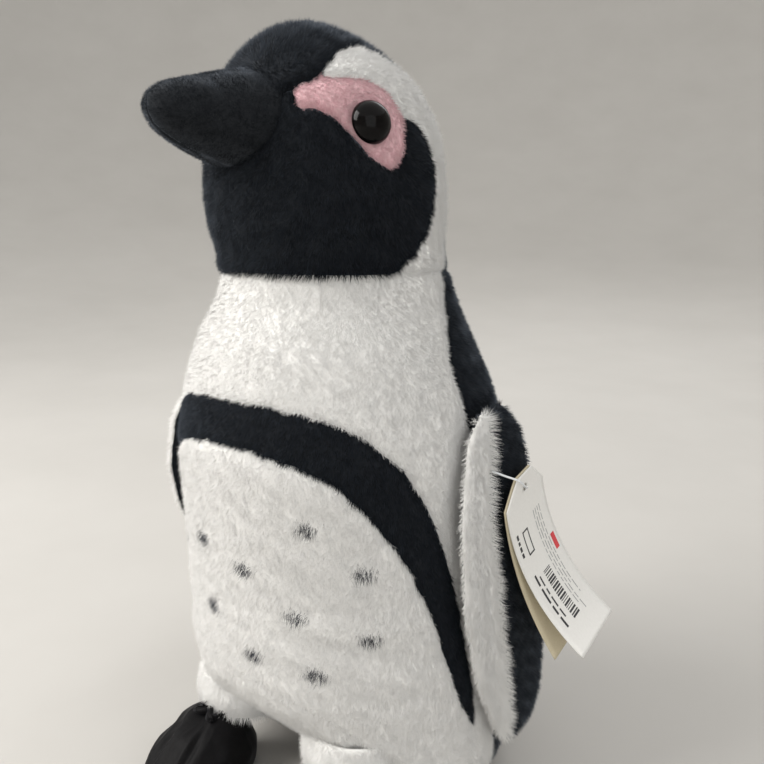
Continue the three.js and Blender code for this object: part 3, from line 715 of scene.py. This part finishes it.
def limb_frame(points, low, high):
    """Up the limb, the way that its wider side lies, and the middle of the limb at each height."""
    up = unit(high - low)
    flat = points - low - ((points - low) @ up)[:, None] * up
    spread = flat - flat.mean(0)
    ahead = np.linalg.eigh(spread.T @ spread)[1][:, -1]
    ahead = unit(ahead - up * (ahead @ up))
    ahead = ahead * np.sign(ahead @ FACE)
    level = (points - low) @ up
    bend = np.polyfit(level, flat, 3)

    def centre_at(height):
        bent = sum(row * height ** (3 - power) for power, row in enumerate(bend))
        return low + up * height + bent

    return up, ahead, centre_at, level


def flipper_wrap(side):
    names = [f"{part}_{side}" for part in ("flipper_outer", "flipper_strip", "flipper_inner")]
    points = node_points(*names)
    shoulder = np.array(joints[f"flipper_{side}_lift"]["pos_m"])
    tip = points[np.linalg.norm(points - shoulder, axis=1).argsort()[-12:]].mean(0)
    up, ahead, centre_at, level = limb_frame(points, tip, shoulder)
    middle, half = (level.max() + level.min()) / 2, (level.max() - level.min()) / 2 - 0.3 * MM
    heights = middle - half * np.cos(np.linspace(0, math.pi, 112)[1:-1])
    wrap = Wrap(names, centre_at, up, ahead, heights, 110, FLAT_LIMB, (1.5, 2.2), foot_rows=3)
    return wrap, up, ahead


def nearness(name, reach):
    """Says how near roots are to another CAD panel: 1 at its seam, 0 beyond reach."""
    tree = tree_over([name])[0]

    def near(roots):
        away = np.array([tree.find_nearest(root)[3] for root in roots])
        return 1 - smooth_step(0, reach, away)
    return near


def flipper_pile(wrap, up, ahead, seed, spread):
    """Short fur all round. The strip's fur covers both of its seams, or hangs down if spread is 0."""
    outer, strip, inner = wrap.names
    by_outer = nearness(outer, 8 * MM)
    by_strip = nearness(strip, STRIP_COVERS)
    down = -0.8 * up - 0.25 * ahead
    pile(Panel(wrap, outer), down, seed)

    def over_the_seams(roots):
        return -0.8 * up + spread * ahead * (0.9 - 1.8 * by_outer(roots)[:, None])

    pile(Panel(wrap, strip), over_the_seams, seed + 1,
         longer=lambda roots: 1.1 + 0.6 * spread * by_outer(roots), density=1.2)
    pile(Panel(wrap, inner), down, seed + 2, keep=lambda roots: by_strip(roots) <= 1 - spread)


flippers = {}
for number, side in enumerate(("left", "right")):
    wrap, up, ahead = flipper_wrap(side)
    wrap.sew(1.0 * MM)
    flippers[side] = wrap
    for name in wrap.names:
        cloth(Panel(wrap, name), 1.4 * MM)
    flipper_pile(wrap, up, ahead, 50 + 5 * number, spread=FLIPPER_SPREAD[side])


# ---- Legs, feet and tail ----
TOE_STITCHES = (-9.5 * MM, 9.5 * MM)
STITCH_DEPTH = 1.8 * MM
STITCH_WIDTH = 1.8 * MM
FRINGE = 0.3  # how much longer the fibres get at a leg's lower end


def groove(distance, width):
    return np.exp(-((distance / width) ** 2))


def foot_wrap(side):
    """The shoe of shiny cloth, with two toe stitches and creases that run along the toes."""
    names = [f"foot_upper_{side}", f"foot_sole_{side}"]
    points = node_points(*names)
    ankle = np.array(joints[f"foot_{side}_turn"]["pos_m"])
    low, high = points[:, 2].min(), points[:, 2].max()
    crown = points[points[:, 2] > low + 0.75 * (high - low)].mean(0)
    toes = unit((crown - ankle) * (1, 1, 0))
    middle = np.array((crown[0], crown[1], 0))
    heights = low + (high - low) * np.sin(np.linspace(0.01, math.pi / 2, 46))[:-1]
    centre_at = lambda height: middle + UP * height
    wrap = Wrap(names, centre_at, UP, toes, heights, 180, soften=(1.4, 2.0), foot_rows=14)
    across = np.cross(UP, toes)
    on = wrap.points - middle
    forward, sideways = on @ toes, on @ across
    lifted = smooth_step(3 * MM, 9 * MM, wrap.points[..., 2] - low)
    depth = np.zeros(forward.shape)
    for place in TOE_STITCHES:
        bent = sideways - place * (0.55 + 0.45 * smooth_step(-5 * MM, 25 * MM, forward))
        depth += STITCH_DEPTH * groove(bent, STITCH_WIDTH) * smooth_step(6 * MM, 18 * MM, forward)
    stretched = np.stack((forward * 0.35, sideways, on[..., 2] * 0.5), -1).reshape(-1, 3)
    folds = flow(stretched, 9 * MM, 71 + len(side), 1).reshape(forward.shape)
    lumps = flow(on.reshape(-1, 3), 24 * MM, 72, 1).reshape(forward.shape)
    depth += 0.35 * MM * np.abs(folds) + 0.5 * MM * lumps
    wrap.points = wrap.points - wrap.normals * (depth * lifted)[..., None]
    wrap.normals = wrap.outward()
    return wrap


def hanging(hem):
    """The fibres at a leg's lower end are longer and hang over the foot."""
    def longer(roots):
        return 1 + FRINGE * (1 - smooth_step(1 * MM, 6 * MM, roots[:, 2] - hem))
    return longer


def leg_wrap(side):
    name = "leg_cuff_" + side
    ankle = np.array(joints[f"foot_{side}_turn"]["pos_m"])
    low, high = (corner[2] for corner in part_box(name))
    heights = np.arange(low, high, 1.2 * MM)
    centre_at = lambda height: np.array((ankle[0], ankle[1], height))
    return Wrap([name], centre_at, UP, FACE, heights, 120, soften=(1.5, 2.2))


def tail_wrap():
    names = ["tail_top", "tail_under"]
    points = node_points(*names)
    low, high = points.min(0), points.max(0)
    middle = (low + high) / 2
    heights = low[1] + (high[1] - low[1]) * np.sin(np.linspace(0, math.pi / 2, 26))[:-1]
    centre_at = lambda height: np.array((middle[0], height, middle[2]))
    return Wrap(names, centre_at, -FACE, UP, heights, 80, FLAT_LIMB[::-1], (1.2, 2.0))


feet = {}
for number, side in enumerate(("left", "right")):
    wrap = foot_wrap(side)
    wrap.sew(0.5 * MM)
    feet[side] = wrap
    for name in wrap.names:
        cloth(Panel(wrap, name), 1.2 * MM)
    leg = leg_wrap(side)
    cuff = Panel(leg, leg.names[0], leg.reached(4, False))
    cloth(cuff, 1.4 * MM)
    hem = leg.points[..., 2].min()
    pile(cuff, -UP, seed=70 + number, density=1.3, longer=hanging(hem))

tail = tail_wrap()
tail.sew(0.8 * MM)
for number, name in enumerate(tail.names):
    panel = Panel(tail, name, tail.reached(3, True))
    cloth(panel, 1.4 * MM)
    pile(panel, -0.5 * FACE - UP, seed=80 + number)


# ---- Stuffing ----
FILL_APART = 3 * MM  # between the torso's fill and the head's
FILL_INSET = 3.5 * MM


def joined_mesh(name, points, quads, made, tight=0.05 * MM):
    mesh = numpy_mesh(name, points, quads)
    shaping = bmesh.new()
    shaping.from_mesh(mesh)
    bmesh.ops.remove_doubles(shaping, verts=shaping.verts, dist=tight)
    bmesh.ops.recalc_face_normals(shaping, faces=shaping.faces)
    shaping.to_mesh(mesh)
    shaping.free()
    mesh.shade_smooth()
    mesh.materials.append(made)
    return mesh


def closed_quads(rows):
    index = np.arange(rows.shape[0] * rows.shape[1]).reshape(rows.shape[:2])
    right = np.roll(index, -1, 1)
    return np.stack((index[:-1], right[:-1], right[1:], index[1:]), -1).reshape(-1, 4)


def stuffing(name, points, inset, thinnest=0.3):
    """Lumpy fibre fill inside a wrap's rows: a grid closed at both ends."""
    inward = points.mean(1, keepdims=True) - points
    reach = np.linalg.norm(inward, axis=-1, keepdims=True)
    lump = 0.8 * MM * (1 + flow(points.reshape(-1, 3), 16 * MM, 90, 1).reshape(reach.shape))
    shift = np.minimum(inset + lump, thinnest * reach)
    rows = points + inward / np.maximum(reach, 1e-9) * shift
    ends = [np.repeat(row.mean(0)[None, None], rows.shape[1], 1) for row in (rows[0], rows[-1])]
    rows = np.concatenate((ends[0], rows, ends[1]))
    mesh = joined_mesh(name + "_fill", rows.reshape(-1, 3), closed_quads(rows), CLOTH["fibre_fill"])
    piece = shown(name + "_fill", mesh, body_of(name))
    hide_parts(name)


def stuff_figure():
    """The torso's fill, and the head's, clear of the eyes' shanks and washers."""
    level = figure.points[..., 2].mean(1)
    thin = figure.points[:, ::2]
    body = thin[level < NECK[2] - FILL_APART / 2][::2]
    head = thin[level > NECK[2] + FILL_APART / 2][::2]
    for eye in EYES:
        near = 1 - smooth_step(1.3, 2.2, eye.distance(head) / eye.radius)
        head = head - eye.axis * (near * (eye.rim - eye.foot + 3 * MM))[..., None]
    stuffing("body_stuffing", body, FILL_INSET)
    stuffing("head_stuffing", head, FILL_INSET)


stuff_figure()
for side in ("left", "right"):
    stuffing("flipper_wadding_" + side, flippers[side].points[14:-14:2, ::2], 2.4 * MM, 0.42)
    stuffing("foot_stuffing_" + side, feet[side].points[4:-1:2, ::2], 2.2 * MM)


# ---- Eyes ----
def turned(name, profile, origin, axis, body, made, segments=64):
    """A solid of revolution from (radius, height) rows along an axis."""
    side = unit(np.cross(axis, UP))
    third = np.cross(axis, side)
    turn = np.arange(segments) * 2 * math.pi / segments
    ring = np.cos(turn)[:, None] * side + np.sin(turn)[:, None] * third
    points = np.array([origin + height * axis + radius * ring for radius, height in profile])
    mesh = joined_mesh(name, points.reshape(-1, 3), closed_quads(points), made, 0.01 * MM)
    piece = shown(name, mesh, body)
    return piece


for eye in EYES:
    rise = np.linspace(0, math.pi / 2, 18)
    dome = [(eye.radius * math.cos(t), eye.rim + (eye.apex - eye.rim) * math.sin(t)) for t in rise]
    edge = 0.5 * MM
    back = [(0, eye.foot), (eye.shank * 0.7, eye.foot), (eye.shank, eye.foot + edge),
            (eye.shank, eye.rim - 2 * edge), (eye.radius - edge, eye.rim - 1.6 * edge),
            (eye.radius - 0.3 * edge, eye.rim - edge)]
    piece = turned(f"eye_{eye.side}_dome", back + dome, eye.washer, eye.axis, "head",
                   EYE_PLASTIC)
    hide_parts("eye_" + eye.side)
    points = node_points("eye_washer_" + eye.side)
    out = (points - eye.washer) @ eye.axis
    radial = np.linalg.norm(points - eye.washer - out[:, None] * eye.axis, axis=1)
    inner, outer, low, high = radial.min(), radial.max(), out.min(), out.max()
    soft = 0.25 * (high - low)
    ring = [(inner, low), (outer - soft, low), (outer, low + soft), (outer, high - soft),
            (outer - soft, high), (outer - 4 * soft, high), (outer - 5 * soft, high - soft),
            (inner + 3 * soft, high - soft), (inner, high), (inner, low)]
    piece = turned(f"eye_washer_{eye.side}_ring", ring, eye.washer, eye.axis, "head",
                   WASHER_PLASTIC)
    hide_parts("eye_washer_" + eye.side)


# ---- Swing tag ----
HOLE = np.array(joints["tag_swing"]["pos_m"])
BEHIND = -unit(np.array(joints["tag_swing"]["axis"]))
HOLE_RADIUS = 1.6 * MM
CARD_THICKNESS = 0.7 * MM
INK_LIFT = 0.05 * MM  # the print lies that far proud of the card


class Card:
    """A curled card: a smooth arc through the CAD card's printed face."""

    def __init__(self, name):
        self.name = name
        mesh = frame["nodes"][name].data
        flat = sum(face.area * np.outer(face.normal, face.normal) for face in mesh.polygons)
        self.across = np.linalg.eigh(flat)[1][:, 0]
        self.across = self.across * np.sign(self.across @ -FACE)
        self.down = unit(np.cross(BEHIND, self.across))
        printed = {corner for face in mesh.polygons
                   if np.dot(face.normal, -BEHIND) > 0.3 for corner in face.vertices}
        points = np.array([mesh.vertices[corner].co for corner in printed]) - HOLE
        wide = np.abs(points @ self.across)
        self.half = wide.max()
        rim = points[wide > 0.3 * self.half]
        y, z = rim @ self.down, rim @ BEHIND
        rows = np.stack((2 * y, 2 * z, np.ones(len(y))), 1)
        centre_y, centre_z, rest = np.linalg.lstsq(rows, y**2 + z**2, rcond=None)[0]
        self.centre = (centre_y, centre_z)
        self.radius = math.sqrt(rest + centre_y**2 + centre_z**2)
        along = np.arctan2(y - centre_y, z - centre_z) * self.radius
        self.top, self.bottom = along.min(), along.max()
        full = np.abs(rim @ self.across) > 0.99 * self.half
        self.shoulder = along[full].min()
        self.top_half = np.abs(rim @ self.across)[along < self.top + 0.1 * MM].max()

    def place(self, x, along, lift=0.0):
        """A point x across the card and so far down its arc, lift proud of the printed face."""
        turn = along / self.radius
        reach = self.radius - lift
        y = self.centre[0] + reach * np.sin(turn)
        z = self.centre[1] + reach * np.cos(turn)
        return HOLE + x[..., None] * self.across + y[..., None] * self.down + z[..., None] * BEHIND

    def grids(self):
        """Quads from the hole out to the edges of the card's top, and on down to its foot."""
        line = -self.top
        across = np.linspace(-self.half, self.half, 13)
        edge = [(x, line) for x in across]
        corners = [(self.half, line), (self.half, self.shoulder), (self.top_half, self.top),
                   (-self.top_half, self.top), (-self.half, self.shoulder), (-self.half, line)]
        for (x, y), (next_x, next_y) in zip(corners[:-1], corners[1:]):
            edge += [(x + (next_x - x) * k / 6, y + (next_y - y) * k / 6) for k in range(1, 7)]
        edge = np.array(edge[:-1])
        angle = np.arctan2(edge[:, 1], edge[:, 0])
        ring = HOLE_RADIUS * np.stack((np.cos(angle), np.sin(angle)), 1)
        rows = np.array([ring + (edge - ring) * share for share in np.linspace(0, 1, 7)])
        top = self.place(rows[..., 0], rows[..., 1])
        down = np.linspace(line, self.bottom, 48)
        x, along = np.meshgrid(across, down)
        return top, self.place(x, along)


def card(name, made):
    shape = Card(name)
    top, lower = shape.grids()
    index = np.arange(lower.shape[0] * lower.shape[1]).reshape(lower.shape[:2])
    index = index + top.shape[0] * top.shape[1]
    lower_quads = np.stack((index[:-1, :-1], index[:-1, 1:], index[1:, 1:], index[1:, :-1]), -1)
    quads = np.concatenate((closed_quads(top), lower_quads.reshape(-1, 4)))
    points = np.concatenate((top.reshape(-1, 3), lower.reshape(-1, 3)))
    mesh = joined_mesh(name + "_sheet", points, quads, made, 0.01 * MM)
    if sum(face.area * np.dot(face.normal, -BEHIND) for face in mesh.polygons) < 0:
        mesh.flip_normals()
    piece = shown(name + "_sheet", mesh, body_of(name))
    sheet = piece.modifiers.new("thickness", "SOLIDIFY")
    sheet.thickness = CARD_THICKNESS
    sheet.offset = -1
    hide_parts(name)
    return shape


def printing(name, shape, rectangles, made):
    """Flat ink: rectangles (x, x, along, along) in millimetres, split to follow the card's curl."""
    points, quads = [], []
    for x_low, x_high, low, high in rectangles:
        steps = max(1, int(math.ceil((high - low) / 2)))
        x, along = np.meshgrid((x_low * MM, x_high * MM), np.linspace(low, high, steps + 1) * MM)
        first = len(points)
        points.extend(shape.place(x, along, INK_LIFT).reshape(-1, 3))
        starts = range(first, first + 2 * steps, 2)
        quads += [(start, start + 1, start + 3, start + 2) for start in starts]
    mesh = numpy_mesh(name, np.array(points), np.array(quads))
    if mesh.polygons[0].normal.dot(Vector(-BEHIND)) < 0:
        mesh.flip_normals()
    mesh.materials.append(made)
    piece = shown(name, mesh, body_of(shape.name))


def dashes(x, thick, start, end, rng, longest=5.0, gap=0.9):
    """A line of print as word-long dashes, in millimetres on the card."""
    made = []
    while start < end:
        stop = min(start + rng.uniform(0.4, 1.0) * longest, end)
        made.append((x, x + thick, start, stop))
        start = stop + gap
    return made


def print_tag(shape):
    """Generic print without lettering: lines of dashes, a row of bars, an outline and a plain block."""
    rng = np.random.default_rng(5)
    small = []
    for x, end in ((3.4, 60), (5.2, 63), (7.0, 52), (8.8, 57)):
        small += dashes(x, 0.45, 13, end, rng)
    bars, along = [], 38.0
    while along < 61:
        wide = rng.choice((0.35, 0.6, 0.9))
        bars.append((-4.6, 1.0, along, along + wide))
        along += wide + rng.choice((0.4, 0.7))
    titles = dashes(-8.6, 0.9, 38, 58, rng, 6, 1.2) + dashes(-11.4, 1.2, 36, 62, rng, 8, 1.4)
    price = dashes(-13.2, 1.5, 16, 27, rng, 2.6, 0.8)
    square = [(-8.4, -3.6, 17.0, 17.7), (-8.4, -3.6, 27.3, 28.0),
              (-8.4, -7.7, 17, 28), (-4.3, -3.6, 17, 28)]
    printing("tag_small_print", shape, small, GREY_INK)
    printing("tag_bars", shape, bars, INK)
    printing("tag_titles", shape, titles + price + square, INK)
    printing("tag_block", shape, [(10.6, 13.6, 29, 36.5)], RED_INK)


front_card = card("tag_front_card", TAG_CARD)
card("tag_back_card", BACK_CARD)
print_tag(front_card)
tack = frame["nodes"]["tag_fastener"]
tack.data.materials.clear()
tack.data.materials.append(TACK_PLASTIC)


# ---- Light and floor ----
LIT_POINT = (0, 0, 0.17)  # the middle of the toy, which the lamps face


def soft_light(name, place, size, power, colour):
    lamp = bpy.data.lights.new(name, "AREA")
    lamp.energy = power
    lamp.size = size
    lamp.color = colour
    made = bpy.data.objects.new(name, lamp)
    made.location = place
    made.rotation_euler = (Vector(LIT_POINT) - Vector(place)).to_track_quat("-Z", "Y").to_euler()
    bpy.context.scene.collection.objects.link(made)


def make_studio():
    """A pale bowl round the object, so that floor and background run into each other."""
    world = bpy.data.worlds.new("studio")
    world.use_nodes = True
    world.node_tree.nodes["Background"].inputs["Color"].default_value = (0.86, 0.85, 0.83, 1)
    world.node_tree.nodes["Background"].inputs["Strength"].default_value = 1.05
    bpy.context.scene.world = world
    bpy.context.scene.view_settings.view_transform = "Standard"
    soft_light("window", (-0.75, -0.95, 1.0), 0.9, 23, (1.0, 0.98, 0.95))
    soft_light("fill", (1.2, -0.7, 0.6), 1.2, 5, (0.95, 0.97, 1.0))
    soft_light("back", (-0.4, 1.2, 1.1), 0.9, 6, (1.0, 1.0, 1.0))
    floor_radius, bend, wall = 1.2, 2.6, 2.8
    arc = np.linspace(0, math.pi / 2, 16)
    profile = [(0.001, 0), (0.4, 0), (0.8, 0)]
    profile += [(floor_radius + bend * math.sin(t), bend * (1 - math.cos(t))) for t in arc]
    profile.append((floor_radius + bend, wall))
    turn = np.arange(96) * 2 * math.pi / 96
    ring = np.stack((np.cos(turn), np.sin(turn), 0 * turn), 1)
    points = np.array([radius * ring + UP * height for radius, height in profile])
    made = material("floor", (0.5, 0.48, 0.455), 0.8)
    patterned(made, (0.50, 0.485, 0.46), (0.53, 0.515, 0.49), 5, 0.02)
    mesh = joined_mesh("floor", points.reshape(-1, 3), closed_quads(points), made)
    floor = bpy.data.objects.new("floor", mesh)
    bpy.context.scene.collection.objects.link(floor)


make_studio()
